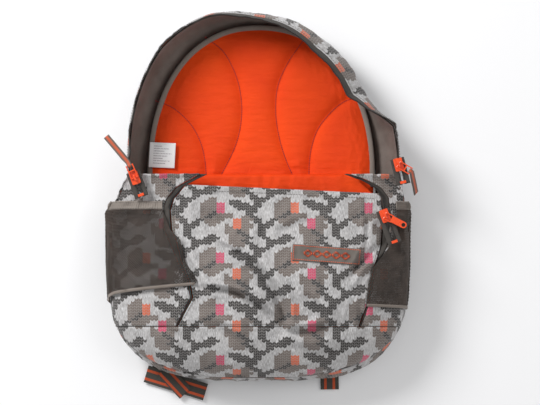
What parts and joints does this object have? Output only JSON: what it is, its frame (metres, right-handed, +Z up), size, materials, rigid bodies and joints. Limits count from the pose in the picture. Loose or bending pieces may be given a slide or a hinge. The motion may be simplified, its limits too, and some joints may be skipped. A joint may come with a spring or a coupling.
{
  "type": "day pack",
  "caption": "Arch-top day pack lying open on its back, with mesh side pockets, zip sliders, pulls, shoulder straps and haul loop.",
  "frame": {"origin": "on the plane the pack lies on, under the middle of the mouth line of the back panel", "axes": "+Z up, out of the front of the pack; +Y towards the top of the pack; +X to the right seen from the front"},
  "size_m": [0.4106, 0.5068, 0.0925],
  "materials": {
    "knit_print": "knit print, light heather with charcoal and taupe motifs",
    "orange_lining": "smooth woven lining",
    "brown_lining": "smooth woven lining",
    "back_mesh": "spacer mesh over foam",
    "foam": "closed-cell foam, stated as fabric because the list has no foam",
    "zip_tape": "woven tape with nylon coil teeth",
    "seam_tape": "folded binding tape",
    "pocket_mesh": "open hexagonal mesh",
    "binding": "ribbed elastic",
    "badge_cloth": "woven patch",
    "orange_thread": "embroidery",
    "white_label": "satin label",
    "orange_enamel": "gloss enamel on die-cast zinc",
    "tab_cloth": "folded tape with a coral stripe",
    "strap_cloth": "woven cloth over foam",
    "webbing": "woven webbing, with two coral stripes on the tails",
    "black_plastic": "moulded acetal"
  },
  "bodies": {
    "bag": {"back_cover": "back_mesh", "back_foam": "foam", "back_lining": "orange_lining", "back_pad_left": "back_mesh", "back_pad_right": "back_mesh", "lumbar_pad": "back_mesh", "arch_gusset_left": "knit_print", "arch_gusset_right": "knit_print", "side_wall_left": "knit_print", "side_wall_right": "knit_print", "gusset_lining": "brown_lining", "rim_zip_tape": "zip_tape", "rim_piping": "seam_tape", "middle_gusset_left": "knit_print", "middle_gusset_right": "knit_print", "front_panel": "knit_print", "base_panel": "knit_print", "divider_panel": "orange_lining", "front_zip_tape_left": "zip_tape", "front_zip_tape_right": "zip_tape", "mesh_pocket_left": "pocket_mesh", "mesh_pocket_right": "pocket_mesh", "pocket_binding_left": "binding", "pocket_binding_right": "binding", "badge_patch": "badge_cloth", "badge_mark": "orange_thread", "care_label": "white_label", "zip_track_left": "zip_tape", "zip_track_right": "zip_tape", "zip_track_front": "zip_tape", "zip_stop_left": "orange_enamel", "zip_stop_right": "orange_enamel", "zip_stop_front": "orange_enamel", "shoulder_pad_left": "strap_cloth", "shoulder_pad_right": "strap_cloth", "yoke_panel": "strap_cloth", "ladder_lock_left": "black_plastic", "ladder_lock_right": "black_plastic", "adjuster_web_left": "webbing", "adjuster_web_right": "webbing", "anchor_tab_left": "strap_cloth", "anchor_tab_right": "strap_cloth", "web_tail_left": "webbing", "web_tail_right": "webbing"},
    "slider_left": {"slider_left": "orange_enamel"},
    "pull_left": {"pull_left": "orange_enamel"},
    "tab_left": {"tab_left": "tab_cloth"},
    "slider_right": {"slider_right": "orange_enamel"},
    "pull_right": {"pull_right": "orange_enamel"},
    "tab_right": {"tab_right": "tab_cloth"},
    "slider_front": {"slider_front": "orange_enamel"},
    "pull_front": {"pull_front": "orange_enamel"},
    "haul_loop": {"haul_loop": "webbing"}
  },
  "joints": [
    {"name": "main_zip_left", "type": "slide", "parent": "bag", "child": "slider_left", "axis": [0.342, -0.9397, 0], "range_m": [0, 0.012]},
    {"name": "main_zip_right", "type": "slide", "parent": "bag", "child": "slider_right", "axis": [0.2419, -0.9703, 0], "range_m": [0, 0.012]},
    {"name": "front_zip", "type": "slide", "parent": "bag", "child": "slider_front", "axis": [0.342, -0.9397, 0], "range_m": [0, 0.024]},
    {"name": "pull_left_swing", "type": "hinge", "parent": "slider_left", "child": "pull_left", "pos_m": [-0.158, 0.019, 0.072], "axis": [0.9135, 0.4067, 0], "range_deg": [0, 150]},
    {"name": "pull_right_swing", "type": "hinge", "parent": "slider_right", "child": "pull_right", "pos_m": [0.181, 0.036, 0.073], "axis": [-0.5, -0.866, 0], "range_deg": [0, 150]},
    {"name": "pull_front_swing", "type": "hinge", "parent": "slider_front", "child": "pull_front", "pos_m": [0.163, -0.03, 0.0755], "axis": [-0.454, -0.891, 0], "range_deg": [0, 150]},
    {"name": "tab_left_fold", "type": "hinge", "parent": "pull_left", "child": "tab_left", "pos_m": [-0.16491, 0.03452, 0.07259], "axis": [0.9135, 0.4067, 0], "range_deg": [0, 40]},
    {"name": "tab_right_fold", "type": "hinge", "parent": "pull_right", "child": "tab_right", "pos_m": [0.19572, 0.0275, 0.0727], "axis": [-0.5, -0.866, 0], "range_deg": [0, 60]},
    {"name": "haul_loop_swing", "type": "hinge", "parent": "bag", "child": "haul_loop", "pos_m": [0, 0.184, 0.0056], "axis": [1, 0, 0], "range_deg": [0, 170]}
  ]
}
